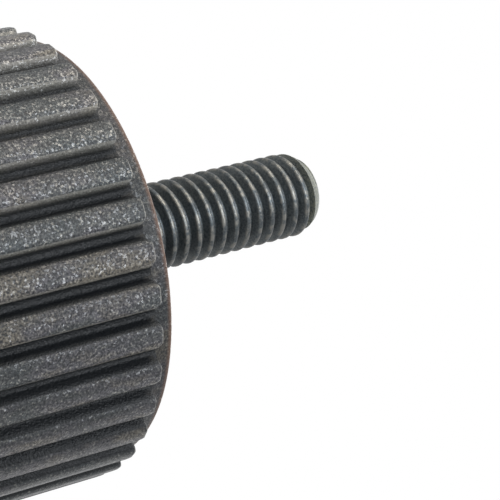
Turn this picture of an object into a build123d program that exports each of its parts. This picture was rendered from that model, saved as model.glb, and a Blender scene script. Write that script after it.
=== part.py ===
"""Ribbed knob head of moulded plastic with a threaded steel stud moulded into it.

Millimetres. The knob stands on the flat outer face of its head: the origin is the centre of that face, and +Z runs
along the axis, through the shoulder, to the tip of the stud.
"""
import math
import os

from build123d import *

# Threaded stud
thread_diameter = 6.0
stud_length = 20.0
tip_length = 1.3
tip_diameter = 4.5
tip_round = 0.45

# The stud's end inside the head
anchor_width = 10.0
anchor_height = 4.0
anchor_depth = 10.0
neck_margin = 0.5

# Head
head_height = 16.0
core_diameter = 27.5
band_height = 1.25
rim_round = 0.2
outer_edge_chamfer = 1.0
draft_angle = 1.4

# Ribs
rib_count = 36
rib_top_diameter = 29.5
groove_lift = 0.06
rib_top_share = 0.64
groove_floor_share = 0.22
rib_edge_break = 0.3
groove_fill = 0.14
rib_end_chamfer = 0.2

# Cutting shapes reach this far past what they cut
overrun = 2.0

rib_end = head_height - band_height
draft_slope = math.tan(math.radians(draft_angle))
core_radius = core_diameter / 2
rib_top_radius = rib_top_diameter / 2
groove_radius = core_radius + groove_lift
rib_pitch_angle = 360 / rib_count
thread_radius = thread_diameter / 2
neck_radius = thread_radius + neck_margin
anchor_top = head_height - anchor_depth + anchor_height
anchor_bottom = head_height - anchor_depth


def rib_radius_at(height):
    """Radius of the rib tops at a height: the draft widens the head towards its shoulder."""
    return rib_top_radius - (rib_end - height) * draft_slope


def on_circle(radius, angle):
    """Point of the section at an angle in degrees."""
    return (radius * math.cos(math.radians(angle)), radius * math.sin(math.radians(angle)))


def ribbed_section():
    """Section of the head across the axis where the ribs end: flat-topped ribs and flat-floored grooves."""
    points = []
    for rib in range(rib_count):
        middle = rib * rib_pitch_angle
        half_top = rib_top_share * rib_pitch_angle / 2
        half_foot = (1 - groove_floor_share) * rib_pitch_angle / 2
        points.append(on_circle(groove_radius, middle - half_foot))
        points.append(on_circle(rib_top_radius, middle - half_top))
        points.append(on_circle(rib_top_radius, middle + half_top))
        points.append(on_circle(groove_radius, middle + half_foot))
    section = make_face(Polyline(*points, close=True))
    between = (groove_radius + rib_top_radius) / 2
    crests = section.vertices().filter_by(lambda corner: math.hypot(corner.X, corner.Y) > between)
    section = chamfer(crests, rib_edge_break)
    roots = section.vertices().filter_by(lambda corner: math.hypot(corner.X, corner.Y) < between)
    return chamfer(roots, groove_fill)


def ribbed_length():
    """The ribbed section carried along the axis, a little wider towards the shoulder."""
    section = ribbed_section()
    levels = []
    for height in (-overrun, rib_end + overrun):
        levels.append(Pos(0, 0, height) * scale(section, rib_radius_at(height) / rib_top_radius))
    return loft(levels, ruled=True)


def rib_envelope():
    """Turned shape that chamfers the outer edge of the head and the ends of the ribs."""
    low = rib_radius_at(outer_edge_chamfer)
    high = rib_radius_at(rib_end - rib_end_chamfer)
    clear = rib_top_radius + overrun
    outline = [
        (0, 0),
        (low - outer_edge_chamfer, 0),
        (low, outer_edge_chamfer),
        (clear, outer_edge_chamfer),
        (clear, rib_end - rib_end_chamfer),
        (high, rib_end - rib_end_chamfer),
        (high - rib_end_chamfer, rib_end),
        (0, rib_end),
    ]
    return revolve(Plane.XZ * make_face(Polyline(*outline, close=True)), Axis.Z)


def shoulder_band():
    """Smooth band between the ends of the ribs and the shoulder, with a small round on the rim."""
    band = Pos(0, 0, rib_end) * extrude(Circle(core_radius), band_height)
    return fillet(band.edges().sort_by(Axis.Z)[-1], rim_round)


def anchor():
    """Hexagon and neck of the stud that lie inside the head."""
    hexagon = extrude(RegularPolygon(anchor_width / 2, 6, major_radius=False), anchor_height)
    neck = extrude(Circle(neck_radius), head_height - anchor_top)
    return Pos(0, 0, anchor_bottom) * hexagon + Pos(0, 0, anchor_top) * neck


def knob_head():
    """Moulded head with the stud's anchor left out of it."""
    ribs = ribbed_length() & rib_envelope()
    return ribs + shoulder_band() - anchor()


def threaded_stud():
    """Steel stud at the thread's outside diameter, with a tapered, rounded tip."""
    shank = extrude(Circle(thread_radius), stud_length - tip_length)
    tip = Pos(0, 0, stud_length - tip_length) * Cone(
        thread_radius, tip_diameter / 2, tip_length, align=(Align.CENTER, Align.CENTER, Align.MIN)
    )
    free_end = Pos(0, 0, head_height) * (shank + tip)
    free_end = fillet(free_end.edges().sort_by(Axis.Z)[-1], tip_round)
    return anchor() + free_end


os.makedirs("parts", exist_ok=True)
nodes = {"knob_head": knob_head(), "threaded_stud": threaded_stud()}
for name, shape in nodes.items():
    solids = shape.solids()
    if len(solids) != 1:
        raise ValueError(f"{name} has {len(solids)} solids")
    solids[0].label = name
    export_step(solids[0], f"parts/{name}.step")
    print(name, "volume", round(solids[0].volume, 1), "box", solids[0].bounding_box())
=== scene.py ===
"""Ribbed plastic knob with a threaded steel stud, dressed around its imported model.

Sizes are in millimetres and become metres where a mesh is written. The knob stands on the flat outer face of its head,
with the stud pointing up along +Z.
"""

import logging
import math
from dataclasses import dataclass
from enum import Enum

import bmesh
import bpy
from mathutils import Matrix, Vector

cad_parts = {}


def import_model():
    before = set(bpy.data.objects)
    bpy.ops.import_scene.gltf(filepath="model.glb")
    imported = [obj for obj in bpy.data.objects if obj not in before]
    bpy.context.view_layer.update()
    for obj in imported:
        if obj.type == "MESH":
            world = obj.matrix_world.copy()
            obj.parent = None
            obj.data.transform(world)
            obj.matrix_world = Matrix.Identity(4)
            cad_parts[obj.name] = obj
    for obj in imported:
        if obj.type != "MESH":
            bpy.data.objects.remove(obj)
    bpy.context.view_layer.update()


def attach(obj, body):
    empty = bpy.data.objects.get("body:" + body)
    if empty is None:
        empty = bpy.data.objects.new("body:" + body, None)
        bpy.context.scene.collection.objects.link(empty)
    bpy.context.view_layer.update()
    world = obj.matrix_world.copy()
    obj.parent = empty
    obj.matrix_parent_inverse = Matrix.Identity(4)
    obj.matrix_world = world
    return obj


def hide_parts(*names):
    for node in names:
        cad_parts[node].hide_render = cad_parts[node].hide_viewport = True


log = logging.getLogger("knob")

Tree = bpy.types.NodeTree
Node = bpy.types.Node
Socket = bpy.types.NodeSocket
Shape = bmesh.types.BMesh
Vertex = bmesh.types.BMVert
Face = bmesh.types.BMFace
Range = tuple[float, float]
Point = tuple[float, float, float]
Colour = tuple[float, float, float, float]
Inputs = dict[int | str, object]

MM = 0.001
ROOT_BODY = "root"
FRAME_PIXELS = 500
SENSOR_WIDTH_MM = 36.0
WHITE = "#ffffff"
NOISE_ROUGHNESS = 0.6
NONE_TO_ALL: Range = (0.0, 1.0)
ALL_TO_NONE: Range = (1.0, 0.0)
MIDDLE_GREY: Point = (0.5, 0.5, 0.5)

# A Mix node's colour sockets share their names with its other sockets, so they go by number
MIX_FIRST = 6
MIX_SECOND = 7
MIX_RESULT = 2

# Distances in millimetres within which vertices count as one, and as lying on a plane
JOINED = 1e-3
DOUBLED = 1e-4
ON_PLANE = 1e-6


class Slot(Enum):
    """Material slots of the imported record."""

    HEAD = "head_plastic"
    STUD = "stud_steel"


def linear(hex_colour: str) -> Colour:
    """Turns an sRGB hex colour into linear RGBA.

    Args:
        hex_colour: Six hex digits after a hash sign.

    Returns:
        Linear red, green, blue and an alpha of 1.
    """
    channels = [int(hex_colour[i : i + 2], 16) / 255 for i in (1, 3, 5)]
    red, green, blue = (c / 12.92 if c <= 0.04045 else ((c + 0.055) / 1.055) ** 2.4 for c in channels)
    return (red, green, blue, 1.0)


def add_node(
    tree: Tree,
    kind: str,
    inputs: Inputs | None = None,
    stops: list[tuple[float, Colour]] | None = None,
    **settings: object,
) -> Node:
    """Adds a node with its settings, input values and links.

    Args:
        tree: Node tree that gets the node.
        kind: Blender's name for the node type.
        inputs: Input names or numbers, each with a value or with the output socket that feeds it.
        stops: Colour stops of a ramp as (position, colour) pairs.
        **settings: Properties of the node.

    Returns:
        The new node.
    """
    node = tree.nodes.new(kind)
    for name, value in settings.items():
        setattr(node, name, value)
    for key, value in (inputs or {}).items():
        if isinstance(value, Socket):
            tree.links.new(value, node.inputs[key])
        else:
            node.inputs[key].default_value = value
    if stops:
        elements = node.color_ramp.elements
        while len(elements) < len(stops):
            elements.new(0.5)
        for element, (position, colour) in zip(elements, stops):
            element.position = position
            element.color = colour
    return node


def new_material(name: str) -> tuple[bpy.types.Material, Tree, Node]:
    """Makes an empty material.

    Args:
        name: Name of the material.

    Returns:
        The material, its node tree and its output node.
    """
    material = bpy.data.materials.new(name)
    material.use_nodes = True
    tree = material.node_tree
    tree.nodes.clear()
    return material, tree, tree.nodes.new("ShaderNodeOutputMaterial")


def maths(tree: Tree, operation: str, *values: object) -> Socket:
    """Adds a step of arithmetic.

    Args:
        tree: Node tree that gets it.
        operation: Blender's name for the operation.
        *values: Numbers, or the sockets that give them.

    Returns:
        The result.
    """
    return add_node(tree, "ShaderNodeMath", dict(enumerate(values)), operation=operation).outputs["Value"]


def vector_maths(tree: Tree, operation: str, inputs: Inputs) -> Socket:
    """Adds a step of arithmetic with vectors.

    Args:
        tree: Node tree that gets it.
        operation: Blender's name for the operation.
        inputs: Input names or numbers, each with a value or a socket.

    Returns:
        The resulting vector.
    """
    return add_node(tree, "ShaderNodeVectorMath", inputs, operation=operation).outputs["Vector"]


def millimetres(tree: Tree) -> Socket:
    """Gives the piece's own coordinates, counted in millimetres.

    Args:
        tree: Node tree that reads them.

    Returns:
        A vector socket.
    """
    place = add_node(tree, "ShaderNodeTexCoord")
    return vector_maths(tree, "SCALE", {0: place.outputs["Object"], "Scale": 1 / MM})


def noise(tree: Tree, place: Socket, size_mm: float, detail: float) -> Socket:
    """Adds a noise pattern.

    Args:
        tree: Node tree that gets it.
        place: Coordinates in millimetres.
        size_mm: Size of its largest features.
        detail: Number of finer layers on top.

    Returns:
        Its value, which lies round one half.
    """
    inputs = {"Vector": place, "Scale": 1 / size_mm, "Detail": detail, "Roughness": NOISE_ROUGHNESS}
    return add_node(tree, "ShaderNodeTexNoise", inputs).outputs["Fac"]


def ramp(tree: Tree, value: Socket, source: tuple[object, object], target: tuple[object, object]) -> Socket:
    """Maps a value smoothly from one range to another and clamps it there.

    Args:
        tree: Node tree that gets the node.
        value: Value to map.
        source: Range of the value, as numbers or sockets.
        target: Range of the result, as numbers or sockets.

    Returns:
        The mapped value.
    """
    inputs = {"Value": value, "From Min": source[0], "From Max": source[1], "To Min": target[0], "To Max": target[1]}
    return add_node(tree, "ShaderNodeMapRange", inputs, interpolation_type="SMOOTHSTEP").outputs["Result"]


def from_axis(tree: Tree, parts: Node) -> Socket:
    """Gives the distance from the knob's axis.

    Args:
        tree: Node tree that reads it.
        parts: Node that gives the coordinates one by one.

    Returns:
        A value in millimetres.
    """
    across = add_node(tree, "ShaderNodeCombineXYZ", {"X": parts.outputs["X"], "Y": parts.outputs["Y"]})
    return add_node(tree, "ShaderNodeVectorMath", {0: across.outputs["Vector"]}, operation="LENGTH").outputs["Value"]


def mixed(tree: Tree, factor: object, first: object, second: object) -> Socket:
    """Mixes two colours.

    Args:
        tree: Node tree that gets the node.
        factor: Share of the second colour, as a number or a socket.
        first: First colour or the socket that gives it.
        second: Second colour or the socket that gives it.

    Returns:
        The mixed colour.
    """
    inputs = {"Factor": factor, MIX_FIRST: first, MIX_SECOND: second}
    return add_node(tree, "ShaderNodeMix", inputs, data_type="RGBA").outputs[MIX_RESULT]


def bumped(tree: Tree, height: Socket, depth_mm: float) -> Socket:
    """Gives the normal of a skin that a pattern makes uneven.

    Args:
        tree: Node tree that gets the node.
        height: The pattern.
        depth_mm: Depth between the pattern's values 0 and 1.

    Returns:
        A normal socket.
    """
    inputs = {"Strength": 1.0, "Distance": depth_mm * MM, "Height": height}
    return add_node(tree, "ShaderNodeBump", inputs).outputs["Normal"]


def principled(tree: Tree, inputs: Inputs) -> Socket:
    """Adds the kind of shader that all the materials use.

    Args:
        tree: Node tree that gets it.
        inputs: Input names, each with a value or a socket.

    Returns:
        The shader's socket.
    """
    return add_node(tree, "ShaderNodeBsdfPrincipled", inputs).outputs["BSDF"]


@dataclass(frozen=True)
class GlassFilledNylon:
    """Black nylon with short glass fibre, moulded in a spark-eroded tool.

    The skin is dull, grainy and unevenly dark. The grooves are painted near black as shade, half of each rib top is
    painted darker as shade, and one flank of each groove keeps the tops' grey as painted light. A pale band along one
    side of each rib and a pale line at the ribs' end are painted highlights, and the band and shoulder have a tone
    between the grooves' and the tops'. Fibre ends just under a thin glossy skin sparkle where they face the light, and
    dust leaves a brown film on the rim.
    """

    cool: str = "#2f3538"
    base: str = "#393b3c"
    violet: str = "#414045"
    warm: str = "#524d45"
    # Painted shade: the near-black colour of the grooves
    groove_shade: str = "#121416"
    pit: str = "#15171a"
    pale: str = "#8b8982"
    # Painted highlight: the colour of the pale rib edges
    edge: str = "#8f8c84"
    dust: str = "#5c4436"
    ior: float = 1.53
    specular: float = 0.14
    roughness: float = 0.42
    # Grain: dark pits where its noise is low, pale specks where it is high
    grain_mm: float = 0.14
    grain_detail: float = 2.0
    grain_depth_mm: float = 0.08
    pit_range: Range = (0.36, 0.56)
    pale_range: Range = (0.55, 0.75)
    pale_share: float = 0.8
    fibre_mm: float = 0.12
    fibre_tilt: float = 0.7
    gloss: float = 0.45
    gloss_roughness: float = 0.2
    # Painted groove shade: depth below the top where it is complete on the shaded and on the lit side, and depth free
    # of it
    shaded_side_depth_mm: float = 0.22
    lit_side_depth_mm: float = 0.95
    unshaded_depth_mm: float = 0.1
    # Angles from a groove's middle, in shares of half the ribs' pitch
    side_change: Range = (0.9, 1.1)
    # Painted shade on the tops, fading across them, and the share of the tops' colour that it leaves
    top_shade_across: Range = (0.5, 1.5)
    top_shade_share: Range = (0.5, 1.0)
    # Heights are counted from the ribs' end
    band_from_mm: float = 0.02
    band_to_mm: float = 0.1
    band_share: float = 0.4
    # Painted highlights along the rib edges: their width, how far past the ribs' end they reach, and their share
    highlight_mm: float = 0.07
    highlight_stop_mm: float = 0.02
    highlight_share: float = 0.35
    # Drift of the colour, drawn out along the axis, and the noise values of its four colours
    mottle_mm: float = 2.6
    mottle_detail: float = 3.0
    mottle_stretch: Point = (1.0, 1.0, 0.4)
    mottle_stops: tuple[float, ...] = (0.36, 0.46, 0.54, 0.64)
    # Heights above the outer face between which the dust on the rim begins
    dust_from_mm: float = 15.55
    dust_to_mm: float = 15.95
    dust_share: float = 0.7

    def build(self, head: "KnobHead") -> bpy.types.Material:
        """Builds the material.

        Args:
            head: The head, whose ribs the painted light and shade follow.

        Returns:
            The moulded nylon.
        """
        material, tree, output = new_material("glass filled nylon, moulded")
        place = millimetres(tree)
        parts = add_node(tree, "ShaderNodeSeparateXYZ", {"Vector": place})
        radius = from_axis(tree, parts)
        turn = self._turn(tree, parts, head)
        grain = noise(tree, place, self.grain_mm, self.grain_detail)
        solid = ramp(tree, grain, self.pit_range, NONE_TO_ALL)
        pitted = mixed(tree, solid, linear(self.pit), self._tint(tree, place))
        lit = mixed(tree, ramp(tree, grain, self.pale_range, (0.0, self.pale_share)), pitted, linear(self.pale))
        # Painted highlights: pale from one edge of each rib's top down that side, and along the ribs' end
        highlighted = mixed(tree, self._painted_edge_highlights(tree, parts, turn, head), lit, linear(self.edge))
        # Painted light and shade: 0 marks the grooves, painted near black as shade, and half of each top is darker as
        # painted shade; one flank of each groove keeps the tops' colour as painted light
        rubbed = self._painted_rib_shading(tree, parts, radius, turn, head)
        worn = mixed(tree, rubbed, linear(self.groove_shade), highlighted)
        skin = principled(
            tree,
            {
                "Base Color": mixed(tree, self._film(tree, parts, radius, head), worn, linear(self.dust)),
                "Roughness": self.roughness,
                "IOR": self.ior,
                "Specular IOR Level": self.specular,
                # The coat follows the painted light and shade mask, so the shaded grooves get no coat
                "Coat Weight": ramp(tree, rubbed, NONE_TO_ALL, (0.0, self.gloss)),
                "Coat Roughness": self.gloss_roughness,
                "Coat Normal": self._fibre_ends(tree, place),
                "Normal": bumped(tree, grain, self.grain_depth_mm),
            },
        )
        tree.links.new(skin, output.inputs["Surface"])
        return material

    def _tint(self, tree: Tree, place: Socket) -> Socket:
        """Gives the plastic's own colour, which drifts between cool and warm over a millimetre or two.

        Args:
            tree: Node tree of the material.
            place: Coordinates in millimetres.

        Returns:
            A colour socket.
        """
        drawn = vector_maths(tree, "MULTIPLY", {0: place, 1: self.mottle_stretch})
        drift = noise(tree, drawn, self.mottle_mm, self.mottle_detail)
        colours = [linear(colour) for colour in (self.cool, self.base, self.violet, self.warm)]
        stops = list(zip(self.mottle_stops, colours))
        return add_node(tree, "ShaderNodeValToRGB", {"Fac": drift}, stops).outputs["Color"]

    def _film(self, tree: Tree, parts: Node, radius: Socket, head: "KnobHead") -> Socket:
        """Marks the rim, where dust stays.

        Args:
            tree: Node tree of the material.
            parts: Node that gives the coordinates one by one.
            radius: Distance from the axis.
            head: The head.

        Returns:
            A value that rises from 0 on the rim.
        """
        inner = (head.rim_inner_radius, head.core_radius - head.rim_round)
        rim = ramp(tree, radius, inner, (0.0, self.dust_share))
        high = ramp(tree, parts.outputs["Z"], (self.dust_from_mm, self.dust_to_mm), NONE_TO_ALL)
        return maths(tree, "MULTIPLY", rim, high)

    def _turn(self, tree: Tree, parts: Node, head: "KnobHead") -> Socket:
        """Counts the angle round the axis from one groove's middle to the next.

        Args:
            tree: Node tree of the material.
            parts: Node that gives the coordinates one by one.
            head: The head.

        Returns:
            An angle in radians from 0 to the ribs' pitch.
        """
        angle = maths(tree, "ARCTAN2", parts.outputs["Y"], parts.outputs["X"])
        shifted = maths(tree, "ADD", angle, head.rib_pitch / 2)
        return maths(tree, "FLOORED_MODULO", shifted, head.rib_pitch)

    def _painted_rib_shading(self, tree: Tree, parts: Node, radius: Socket, turn: Socket, head: "KnobHead") -> Socket:
        """Marks the painted shade in the grooves and on half of each top, the painted light down one flank, and the
        band.

        Args:
            tree: Node tree of the material.
            parts: Node that gives the coordinates one by one.
            radius: Distance from the axis.
            turn: Angle from one groove to the next.
            head: The head.

        Returns:
            A value from 0 in the grooves to 1 on the tops.
        """
        drafted = maths(tree, "MULTIPLY_ADD", parts.outputs["Z"], -head.draft_slope, radius)
        top = head.rib_top_radius - head.rib_end * head.draft_slope
        middle = head.rib_pitch / 2
        change_from, change_to = self.side_change
        top_shade_from, top_shade_to = self.top_shade_across
        # Painted groove shade starts just below the top on the shaded side and near the floor on the lit side
        reach = (top - self.shaded_side_depth_mm, top - self.lit_side_depth_mm)
        start = ramp(tree, turn, (middle * change_from, middle * change_to), reach)
        tops = ramp(tree, drafted, (start, top - self.unshaded_depth_mm), NONE_TO_ALL)
        # Painted shade: the half of each top on the shaded side keeps only part of its colour
        top_shade = ramp(tree, turn, (middle * top_shade_from, middle * top_shade_to), self.top_shade_share)
        blend = (head.rib_end - self.band_from_mm, head.rib_end + self.band_to_mm)
        band = ramp(tree, parts.outputs["Z"], blend, (0.0, self.band_share))
        return maths(tree, "MAXIMUM", maths(tree, "MULTIPLY", tops, top_shade), band)

    def _painted_edge_highlights(self, tree: Tree, parts: Node, turn: Socket, head: "KnobHead") -> Socket:
        """Marks the painted highlights: pale from one edge of each rib's top down that side, and along the ribs' end.

        Args:
            tree: Node tree of the material.
            parts: Node that gives the coordinates one by one.
            turn: Angle from one groove to the next.
            head: The head.

        Returns:
            A value that rises from 0 on those edges.
        """
        height = parts.outputs["Z"]
        rise = (0.0, self.highlight_share)
        # Painted highlight: it begins at this edge of each top
        edge = head.rib_pitch / 2 * (1 + head.rib_top_share)
        line = self.highlight_mm / head.rib_top_radius
        side = ramp(tree, turn, (edge - 2 * line, edge - line), rise)
        end = ramp(tree, height, (head.rib_end - 2 * self.highlight_mm, head.rib_end - self.highlight_mm), rise)
        ribs = ramp(tree, height, (head.rib_end, head.rib_end + self.highlight_stop_mm), ALL_TO_NONE)
        return maths(tree, "MULTIPLY", maths(tree, "MAXIMUM", side, end), ribs)

    def _fibre_ends(self, tree: Tree, place: Socket) -> Socket:
        """Tilts the skin over each fibre end its own way, so that a few of them catch the light.

        Args:
            tree: Node tree of the material.
            place: Coordinates in millimetres.

        Returns:
            A normal socket.
        """
        cells = add_node(tree, "ShaderNodeTexVoronoi", {"Vector": place, "Scale": 1 / self.fibre_mm})
        surface = add_node(tree, "ShaderNodeNewGeometry")
        centred = vector_maths(tree, "SUBTRACT", {0: cells.outputs["Color"], 1: MIDDLE_GREY})
        tilt = vector_maths(tree, "SCALE", {0: centred, "Scale": self.fibre_tilt})
        tilted = vector_maths(tree, "ADD", {0: surface.outputs["Normal"], 1: tilt})
        return vector_maths(tree, "NORMALIZE", {0: tilted})


@dataclass(frozen=True)
class BlackOxideSteel:
    """Rolled steel thread, black-oxided and oiled.

    It is nearly black with a cool cast and a fine grain. Wear brightens the crests in patches and leaves the tip an
    olive grey.
    """

    oxide: str = "#4a4e50"
    dark: str = "#373d41"
    worn: str = "#6a6965"
    tip: str = "#63655a"
    metallic: float = 0.85
    roughness: float = 0.46
    pit_mm: float = 0.14
    pit_detail: float = 2.0
    pit_depth_mm: float = 0.03
    pit_range: Range = (0.35, 0.6)
    patch_mm: float = 0.55
    patch_detail: float = 4.0
    patch_range: Range = (0.42, 0.62)
    crest_mm: float = 0.22
    # Where the tip's wear begins, below and above the start of the taper, and its share in the pits
    tip_from_mm: float = 0.2
    tip_to_mm: float = 0.5
    tip_least: float = 0.2

    def build(self, stud: "ThreadedStud") -> bpy.types.Material:
        """Builds the material.

        Args:
            stud: The stud whose crests and tip are worn.

        Returns:
            The oxidised steel.
        """
        material, tree, output = new_material("black oxide steel, rolled thread")
        place = millimetres(tree)
        parts = add_node(tree, "ShaderNodeSeparateXYZ", {"Vector": place})
        height = parts.outputs["Z"]
        pits = noise(tree, place, self.pit_mm, self.pit_detail)
        patches = noise(tree, place, self.patch_mm, self.patch_detail)
        skin = mixed(tree, ramp(tree, pits, self.pit_range, NONE_TO_ALL), linear(self.dark), linear(self.oxide))
        radius = from_axis(tree, parts)
        crest = ramp(tree, radius, (stud.crest_radius - self.crest_mm, stud.crest_radius), NONE_TO_ALL)
        rubbed = maths(tree, "MULTIPLY", crest, ramp(tree, patches, self.patch_range, NONE_TO_ALL))
        thread = mixed(tree, rubbed, skin, linear(self.worn))
        blend = (stud.tip_start - self.tip_from_mm, stud.tip_start + self.tip_to_mm)
        end = ramp(tree, height, blend, NONE_TO_ALL)
        rim = ramp(tree, height, (stud.top - stud.tip_round, stud.top), ALL_TO_NONE)
        taper = maths(tree, "MULTIPLY", end, rim)
        bare = maths(tree, "MULTIPLY", taper, ramp(tree, pits, self.pit_range, (self.tip_least, 1.0)))
        steel = principled(
            tree,
            {
                "Base Color": mixed(tree, bare, thread, linear(self.tip)),
                "Metallic": self.metallic,
                "Roughness": self.roughness,
                "Normal": bumped(tree, pits, self.pit_depth_mm),
            },
        )
        tree.links.new(steel, output.inputs["Surface"])
        return material


def add_object(name: str, data: bpy.types.ID) -> bpy.types.Object:
    """Adds an object to the scene, unturned at the origin.

    Args:
        name: Name of the object.
        data: Its mesh, light or camera.

    Returns:
        The new object.
    """
    thing = bpy.data.objects.new(name, data)
    bpy.context.scene.collection.objects.link(thing)
    return thing


def add_mesh(name: str, shape: Shape, material: bpy.types.Material) -> bpy.types.Object:
    """Writes a bmesh to a new object.

    Args:
        name: Name of the object.
        shape: The finished shape in metres. It is freed.
        material: The object's finish.

    Returns:
        The new object.
    """
    mesh = bpy.data.meshes.new(name)
    shape.to_mesh(mesh)
    shape.free()
    mesh.materials.append(material)
    return add_object(name, mesh)


def finish_mesh(name: str, shape: Shape, material: bpy.types.Material, sharp_angle: float) -> bpy.types.Object:
    """Writes a bmesh, built in millimetres, to a new smooth object in metres.

    Args:
        name: Name of the piece.
        shape: The finished shape. It is freed.
        material: The piece's finish.
        sharp_angle: Edges that turn by more degrees than this stay sharp.

    Returns:
        The new object.
    """
    bmesh.ops.remove_doubles(shape, verts=shape.verts, dist=DOUBLED)
    bmesh.ops.recalc_face_normals(shape, faces=shape.faces)
    bmesh.ops.scale(shape, vec=Vector((MM, MM, MM)), verts=shape.verts)
    piece = add_mesh(name, shape, material)
    piece.data.shade_smooth()
    piece.data.set_sharp_from_angle(angle=math.radians(sharp_angle))
    return piece


def spin(shape: Shape, chain: list[Vertex], turns: int, steps: int, rise: float = 0.0, copies: bool = False) -> None:
    """Joins vertices to a chain, carries it round the axis and merges what meets.

    Args:
        shape: Bmesh that holds the vertices.
        chain: The vertices in order.
        turns: Number of full turns.
        steps: Number of steps in all.
        rise: Distance along +Z at each step.
        copies: Whether each step leaves a copy of the chain, instead of faces from one step to the next.
    """
    edges = [shape.edges.new(pair) for pair in zip(chain, chain[1:])]
    bmesh.ops.spin(
        shape,
        geom=chain + edges,
        cent=(0, 0, 0),
        axis=(0, 0, 1),
        dvec=(0, 0, rise),
        angle=2 * math.pi * turns,
        steps=steps,
        use_duplicate=copies,
        space=Matrix.Identity(4),
    )
    bmesh.ops.remove_doubles(shape, verts=shape.verts, dist=JOINED)


def radius_of(vertex: Vertex) -> float:
    """Gives the distance of a vertex from the knob's axis.

    Args:
        vertex: The vertex.

    Returns:
        The distance.
    """
    return math.hypot(vertex.co.x, vertex.co.y)


def set_radius(vertex: Vertex, radius: float) -> None:
    """Moves a vertex straight in or out.

    Args:
        vertex: The vertex, away from the axis.
        radius: Its new distance from the axis.
    """
    ratio = radius / radius_of(vertex)
    vertex.co.x *= ratio
    vertex.co.y *= ratio


def quarter_round(radius: float, steps: int) -> list[tuple[float, float]]:
    """Gives the points of a quarter round, counted from its start.

    Args:
        radius: Radius of the round.
        steps: Number of steps.

    Returns:
        Pairs of distance along the start's direction and distance pulled in.
    """
    angles = [math.pi / 2 * step / steps for step in range(1, steps + 1)]
    return [(radius * math.sin(a), radius * (1 - math.cos(a))) for a in angles]


@dataclass(frozen=True)
class Anchor:
    """The stud's end inside the head: a neck and a hexagon under it."""

    neck_radius: float = 3.5
    neck_length: float = 6.0
    width: float = 10.0
    height: float = 4.0

    def reach(self, vertex: Vertex) -> float:
        """Gives the hexagon's radius in the direction of a vertex.

        Args:
            vertex: The vertex.

        Returns:
            The radius.
        """
        sector = math.pi / 3
        turn = (math.atan2(vertex.co.y, vertex.co.x) + sector) % sector - sector / 2
        return self.width / 2 / math.cos(turn)


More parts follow.
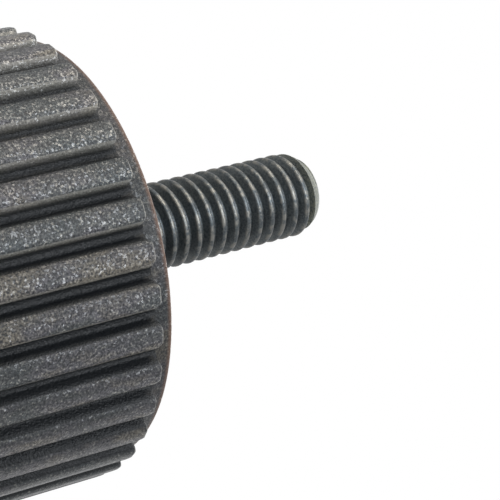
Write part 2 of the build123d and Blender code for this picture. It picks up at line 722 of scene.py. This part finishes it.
@dataclass
class KnobHead:
    """The moulded head: ribs, smooth band, shoulder and the cavity that holds the stud's anchor."""

    height: float = 16.0
    core_radius: float = 13.75
    band_height: float = 1.25
    rim_round: float = 0.2
    outer_edge_chamfer: float = 1.0
    draft_angle: float = 1.4
    rib_count: int = 36
    rib_top_radius: float = 14.75
    rib_crown: float = 0.1
    crown_steps: int = 2
    groove_radius: float = 13.81
    rib_top_share: float = 0.64
    groove_floor_share: float = 0.22
    rib_edge_round: float = 0.34
    groove_round: float = 0.2
    rib_end_round: float = 0.15
    rib_corner_round: float = 0.45
    # Share of the way from a rib's middle to its foot within which rounding the corners moves it
    rib_side_share: float = 0.98
    bevel_steps: int = 4
    round_steps: int = 6
    sharp_angle: float = 38.0
    anchor: Anchor = Anchor()

    @property
    def rib_end(self) -> float:
        """Height at which the ribs end."""
        return self.height - self.band_height

    @property
    def rib_pitch(self) -> float:
        """Angle in radians from one rib to the next."""
        return 2 * math.pi / self.rib_count

    @property
    def half_foot(self) -> float:
        """Angle in radians from a rib's middle to its foot."""
        return self.rib_pitch * (1 - self.groove_floor_share) / 2

    @property
    def draft_slope(self) -> float:
        """Widening of the ribs per length along the axis."""
        return math.tan(math.radians(self.draft_angle))

    @property
    def rim_inner_radius(self) -> float:
        """Radius on the shoulder at which the dust on the rim ends."""
        return self.core_radius - 2 * self.rim_round

    @property
    def low_radius(self) -> float:
        """Radius of the rib tops where the outer edge's chamfer begins."""
        return self.rib_top_radius - (self.rib_end - self.outer_edge_chamfer) * self.draft_slope

    def build(self, material: bpy.types.Material) -> bpy.types.Object:
        """Builds the head from its ribbed section.

        Args:
            material: The moulded plastic.

        Returns:
            The head.
        """
        shape = bmesh.new()
        cap = self._ribs(shape, self._section(shape))
        self._cavity(shape, self._shoulder(shape, cap))
        self._outer_face(shape)
        return finish_mesh("knob_head_moulding", shape, material, self.sharp_angle)

    def _section(self, shape: Shape) -> Face:
        """Draws the ribbed section as one flat face where the outer edge's chamfer begins.

        Args:
            shape: Bmesh that gets the face.

        Returns:
            The face.
        """
        half_top = self.rib_pitch * self.rib_top_share / 2
        across = [step / self.crown_steps for step in range(-self.crown_steps, self.crown_steps + 1)]
        corners = [(self.groove_radius, -self.half_foot)]
        corners += [(self.rib_top_radius - self.rib_crown * share**2, half_top * share) for share in across]
        corners += [(self.groove_radius, self.half_foot), (self.groove_radius, self.rib_pitch - self.half_foot)]
        chain = [shape.verts.new((r * math.cos(a), r * math.sin(a), self.outer_edge_chamfer)) for r, a in corners]
        spin(shape, chain, 1, self.rib_count, copies=True)
        bmesh.ops.contextual_create(shape, geom=shape.edges[:])
        edge_radius = self.rib_top_radius - self.rib_crown
        for radius, length in ((edge_radius, self.rib_edge_round), (self.groove_radius, self.groove_round)):
            bmesh.ops.bevel(
                shape,
                geom=[v for v in shape.verts if abs(radius_of(v) - radius) < JOINED],
                offset=length,
                offset_type="OFFSET",
                segments=self.bevel_steps,
                profile=0.5,
                affect="VERTICES",
                material=-1,
            )
        narrow = self.low_radius / self.rib_top_radius
        bmesh.ops.scale(shape, vec=(narrow, narrow, 1), verts=shape.verts[:])
        return shape.faces[:][0]

    def _raise(
        self, shape: Shape, cap: Face, rise: float, limit: float, widen: float = 1.0, keep: bool = False
    ) -> Face:
        """Extrudes the end face along the axis.

        Args:
            shape: Bmesh that holds the face.
            cap: The end face.
            rise: Distance along +Z.
            limit: Radius that the new section stays within.
            widen: Ratio by which the new section is wider.
            keep: Whether the old end face stays, as the other end of the shape.

        Returns:
            The new end face.
        """
        grown = bmesh.ops.extrude_face_region(shape, geom=[cap], use_keep_orig=keep)["geom"]
        if cap.is_valid and not keep:
            bmesh.ops.delete(shape, geom=[cap], context="FACES_ONLY")
        verts = [g for g in grown if isinstance(g, Vertex)]
        bmesh.ops.translate(shape, vec=(0, 0, rise), verts=verts)
        bmesh.ops.scale(shape, vec=(widen, widen, 1), verts=verts)
        for vertex in verts:
            if radius_of(vertex) > limit:
                set_radius(vertex, limit)
        return [g for g in grown if isinstance(g, Face)][0]

    def _from_rib_middle(self, vertex: Vertex) -> float:
        """Gives the angle from the middle of the nearest rib to a vertex.

        Args:
            vertex: The vertex.

        Returns:
            The angle in radians.
        """
        angle = math.atan2(vertex.co.y, vertex.co.x)
        return angle - round(angle / self.rib_pitch) * self.rib_pitch

    def _round_rib_corners(self, cap: Face, pulled: float) -> None:
        """Narrows the ribs of an end section, so that their corners are round as seen from outside.

        Args:
            cap: The end section.
            pulled: Distance by which each side of a rib is pulled in.
        """
        for vertex in cap.verts:
            aside = self._from_rib_middle(vertex)
            if abs(aside) < self.half_foot * self.rib_side_share:
                turn = -aside / self.half_foot * pulled / self.rib_top_radius
                vertex.co = Matrix.Rotation(turn, 3, "Z") @ vertex.co

    def _ribs(self, shape: Shape, base: Face) -> Face:
        """Carries the section up to the ribs' rounded ends.

        Args:
            shape: Bmesh of the head.
            base: The ribbed section.

        Returns:
            The end face.
        """
        straight = self.rib_end - self.rib_corner_round - self.outer_edge_chamfer
        high = self.low_radius + straight * self.draft_slope
        cap = self._raise(shape, base, straight, high, widen=high / self.low_radius, keep=True)
        at = 0.0
        inset = 0.0
        for along, pulled in quarter_round(self.rib_corner_round, self.round_steps):
            drop = max(0.0, along + self.rib_end_round - self.rib_corner_round)
            lowered = self.rib_end_round - math.sqrt(max(0.0, self.rib_end_round**2 - drop**2))
            cap = self._raise(shape, cap, along - at, high - lowered)
            self._round_rib_corners(cap, pulled - inset)
            at, inset = along, pulled
        return cap

    def _shoulder(self, shape: Shape, cap: Face) -> Face:
        """Adds the smooth band, the rounded rim and the shoulder as far as the stud's neck.

        Args:
            shape: Bmesh of the head.
            cap: The end face of the ribs.

        Returns:
            The end face.
        """
        steps = [(0.0, self.core_radius), (self.band_height - self.rim_round, self.core_radius)]
        at = 0.0
        for along, pulled in quarter_round(self.rim_round, self.round_steps):
            steps.append((along - at, self.core_radius - pulled))
            at = along
        steps += [(0.0, self.rim_inner_radius), (0.0, self.anchor.neck_radius)]
        for rise, limit in steps:
            cap = self._raise(shape, cap, rise, limit)
        return cap

    def _cavity(self, shape: Shape, cap: Face) -> None:
        """Sinks the cavity that holds the stud's anchor.

        Args:
            shape: Bmesh of the head.
            cap: The mouth of the cavity.
        """
        for rise in (-self.anchor.neck_length, 0.0):
            cap = self._raise(shape, cap, rise, self.anchor.neck_radius)
        for vertex in cap.verts:
            set_radius(vertex, self.anchor.reach(vertex))
        self._raise(shape, cap, -self.anchor.height, self.anchor.width)

    def _from_section(self, face: Face) -> tuple[float, float]:
        """Ranks a face by how far it is from being the ribbed section, the largest face at its height.

        Args:
            face: The face.

        Returns:
            Its distance from the section's height, then its area below zero.
        """
        return (abs(face.calc_center_median().z - self.outer_edge_chamfer), -face.calc_area())

    def _outer_face(self, shape: Shape) -> None:
        """Carries the ribbed section down to the flat outer face, with a chamfer.

        Args:
            shape: Bmesh of the head.
        """
        base = min(shape.faces, key=self._from_section)
        self._raise(shape, base, -self.outer_edge_chamfer, self.low_radius - self.outer_edge_chamfer)


@dataclass
class ThreadedStud:
    """The steel stud: a right-hand metric thread, its tapered tip and the anchor inside the head."""

    foot: float = 16.0
    length: float = 20.0
    pitch: float = 1.0
    crest_radius: float = 2.97
    root_radius: float = 2.39
    crest_share: float = 0.24
    root_share: float = 0.14
    # Points of the thread's profile: share of the root, flank or crest, and share of the thread's depth
    root_depth: float = 0.02
    flank_points: tuple[tuple[float, float], ...] = ((0.14, 0.1), (0.8, 0.83), (0.94, 0.93))
    crest_point: tuple[float, float] = (0.2, 0.985)
    tip_length: float = 1.3
    tip_radius: float = 2.25
    tip_round: float = 0.45
    phase: float = 0.462
    # Turns wound below the foot and beyond the length, which are cut off again
    lead_turns: float = 2.5
    spare_turns: int = 3
    steps_per_turn: int = 72
    sharp_angle: float = 60.0
    anchor: Anchor = Anchor()

    @property
    def top(self) -> float:
        """Height of the tip."""
        return self.foot + self.length

    @property
    def tip_start(self) -> float:
        """Height at which the tip begins to taper."""
        return self.top - self.tip_length

    def build(self, material: bpy.types.Material) -> bpy.types.Object:
        """Builds the stud.

        Args:
            material: The oxidised steel.

        Returns:
            The stud.
        """
        shape = bmesh.new()
        self._thread(shape)
        for vertex in shape.verts:
            reach = self._reach(vertex.co.z)
            if radius_of(vertex) > reach:
                set_radius(vertex, reach)
        self._anchor(shape)
        bmesh.ops.holes_fill(shape, edges=[e for e in shape.edges if e.is_boundary], sides=0)
        return finish_mesh("threaded_stud_steel", shape, material, self.sharp_angle)

    def _profile(self) -> list[tuple[float, float]]:
        """Draws one turn of the thread from root to root.

        Returns:
            Pairs of share of the pitch and share of the thread's depth.
        """
        start = self.root_share / 2
        flank = (1 - self.crest_share - self.root_share) / 2
        share, depth = self.crest_point
        half = [(0.0, 0.0), (start, self.root_depth)]
        half += [(start + flank * up, out) for up, out in self.flank_points]
        half.append((start + flank + self.crest_share * share, depth))
        crest = (start + flank + self.crest_share / 2, 1.0)
        return half + [crest] + [(1 - up, out) for up, out in reversed(half)]

    def _thread(self, shape: Shape) -> None:
        """Winds the thread and cuts it off at the stud's foot and top.

        Args:
            shape: Bmesh that gets the thread, open at both ends.
        """
        depth = self.crest_radius - self.root_radius
        start = self.foot + self.phase * self.pitch - self.pitch * self.lead_turns
        chain = [
            shape.verts.new((self.root_radius + depth * out, 0.0, start + self.pitch * up))
            for up, out in self._profile()
        ]
        turns = math.ceil(self.length / self.pitch) + self.spare_turns
        spin(shape, chain, turns, self.steps_per_turn * turns, rise=self.pitch / self.steps_per_turn)
        for height, upward in ((self.foot, False), (self.top, True)):
            bmesh.ops.bisect_plane(
                shape,
                geom=shape.verts[:] + shape.edges[:] + shape.faces[:],
                dist=ON_PLANE,
                plane_co=(0, 0, height),
                plane_no=(0, 0, 1),
                clear_inner=not upward,
                clear_outer=upward,
            )

    def _reach(self, height: float) -> float:
        """Gives the largest radius at a height: full up to the tip, then a taper that ends in a round.

        Args:
            height: Height above the outer face.

        Returns:
            The radius.
        """
        if height <= self.tip_start:
            return self.crest_radius
        along = min(1.0, (height - self.tip_start) / self.tip_length)
        taper = self.crest_radius + (self.tip_radius - self.crest_radius) * along
        into_round = self.tip_round - (self.top - height)
        if into_round > 0:
            taper -= self.tip_round - math.sqrt(max(0.0, self.tip_round**2 - into_round**2))
        return taper

    def _anchor(self, shape: Shape) -> None:
        """Carries the stud's foot on as the neck and the hexagon that lie inside the head.

        Args:
            shape: Bmesh of the stud, still open at both ends.
        """
        neck, hexagon = self.anchor.neck_length, self.anchor.height
        edges = [e for e in shape.edges if e.is_boundary and max(v.co.z for v in e.verts) < self.foot + JOINED]
        for drop, in_hexagon in ((0.0, False), (neck, False), (0.0, True), (hexagon, True)):
            grown = bmesh.ops.extrude_edge_only(shape, edges=edges)["geom"]
            edges = [g for g in grown if isinstance(g, bmesh.types.BMEdge)]
            for vertex in (g for g in grown if isinstance(g, Vertex)):
                set_radius(vertex, self.anchor.reach(vertex) if in_hexagon else self.anchor.neck_radius)
                vertex.co.z -= drop


@dataclass(frozen=True)
class Lamp:
    """One soft round lamp: its place and size in millimetres, its power in watts and its colour."""

    name: str
    place: Point
    size: float
    power: float
    colour: str = WHITE

    def build(self, target: Vector) -> None:
        """Hangs the lamp.

        Args:
            target: Point in millimetres that it faces.
        """
        light = bpy.data.lights.new(self.name, "AREA")
        light.shape = "DISK"
        light.size = self.size * MM
        light.energy = self.power
        light.color = linear(self.colour)[:3]
        lamp = add_object(self.name, light)
        lamp.location = Vector(self.place) * MM
        lamp.rotation_euler = (target - Vector(self.place)).to_track_quat("-Z", "Y").to_euler()


@dataclass
class Studio:
    """Pale floor, soft lamps, white background and the photograph's camera."""

    camera_place: Point = (8.061, -100.265, -34.635)
    camera_ahead: Point = (-0.04119, 0.8383, 0.54365)
    camera_up: Point = (-0.95988, -0.18426, 0.21139)
    focal_pixels: float = 1725.0
    clip_start: float = 1.0
    floor_size: float = 900.0
    floor_colour: str = "#e9e9e7"
    floor_roughness: float = 0.85
    ambient: float = 0.18
    lamp_target: Point = (0.0, 0.0, 12.0)
    lamps: tuple[Lamp, ...] = (
        Lamp("key", (-180.0, -126.0, 125.0), 110.0, 0.5, "#fff7ea"),
        Lamp("front", (19.0, -219.0, 125.0), 110.0, 0.68, "#f4f9ff"),
        Lamp("top", (0.0, 60.0, 320.0), 300.0, 0.4),
        Lamp("back", (-19.0, 219.0, 150.0), 120.0, 0.4),
    )

    def build(self) -> None:
        """Builds the floor, the world, the lamps and the camera."""
        self._floor()
        self._world()
        for lamp in self.lamps:
            lamp.build(Vector(self.lamp_target))
        self._camera()

    def _floor(self) -> None:
        """Lays the floor. Its underside is clear, so that the camera sees past it from below."""
        material, tree, output = new_material("pale studio floor")
        sheet = principled(tree, {"Base Color": linear(self.floor_colour), "Roughness": self.floor_roughness})
        clear = add_node(tree, "ShaderNodeBsdfTransparent")
        side = add_node(tree, "ShaderNodeNewGeometry")
        both = add_node(
            tree, "ShaderNodeMixShader", {0: side.outputs["Backfacing"], 1: sheet, 2: clear.outputs["BSDF"]}
        )
        tree.links.new(both.outputs["Shader"], output.inputs["Surface"])
        shape = bmesh.new()
        bmesh.ops.create_grid(shape, x_segments=1, y_segments=1, size=self.floor_size * MM / 2)
        floor = add_mesh("studio_floor", shape, material)

    def _world(self) -> None:
        """Sets a white background that metal and glossy plastic show too, over a plain grey ambient light."""
        world = bpy.data.worlds.new("studio")
        world.use_nodes = True
        tree = world.node_tree
        tree.nodes.clear()
        path = add_node(tree, "ShaderNodeLightPath")
        seen = maths(tree, "MAXIMUM", path.outputs["Is Camera Ray"], path.outputs["Is Glossy Ray"])
        shown = maths(tree, "MAXIMUM", seen, path.outputs["Is Transmission Ray"])
        strength = add_node(tree, "ShaderNodeMapRange", {"Value": shown, "To Min": self.ambient, "To Max": 1.0})
        background = add_node(
            tree, "ShaderNodeBackground", {"Color": linear(WHITE), "Strength": strength.outputs["Result"]}
        )
        output = add_node(tree, "ShaderNodeOutputWorld")
        tree.links.new(background.outputs["Background"], output.inputs["Surface"])
        bpy.context.scene.world = world

    def _camera(self) -> None:
        """Places the camera where the photograph was taken from."""
        ahead = Vector(self.camera_ahead).normalized()
        up = Vector(self.camera_up)
        up = (up - ahead * up.dot(ahead)).normalized()
        right = ahead.cross(up)
        turn = Matrix((right, up, -ahead)).transposed()
        data = bpy.data.cameras.new("photo_camera")
        data.sensor_width = SENSOR_WIDTH_MM
        data.lens = self.focal_pixels / FRAME_PIXELS * SENSOR_WIDTH_MM
        data.clip_start = self.clip_start * MM
        camera = add_object("photo_camera", data)
        camera.matrix_world = Matrix.Translation(Vector(self.camera_place) * MM) @ turn.to_4x4()
        bpy.context.scene.camera = camera


def main() -> None:
    """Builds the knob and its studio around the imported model."""
    logging.basicConfig(level=logging.INFO, format="%(name)s: %(message)s")
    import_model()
    bpy.context.scene.view_settings.view_transform = "Standard"
    head = KnobHead()
    stud = ThreadedStud()
    pieces = (
        (head.build(GlassFilledNylon().build(head)), "knob_head", Slot.HEAD),
        (stud.build(BlackOxideSteel().build(stud)), "threaded_stud", Slot.STUD),
    )
    for piece, node, slot in pieces:
        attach(piece, ROOT_BODY)
        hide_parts(node)
        log.info("%s: %d faces", piece.name, len(piece.data.polygons))
    Studio().build()


if __name__ == "__main__":
    main()
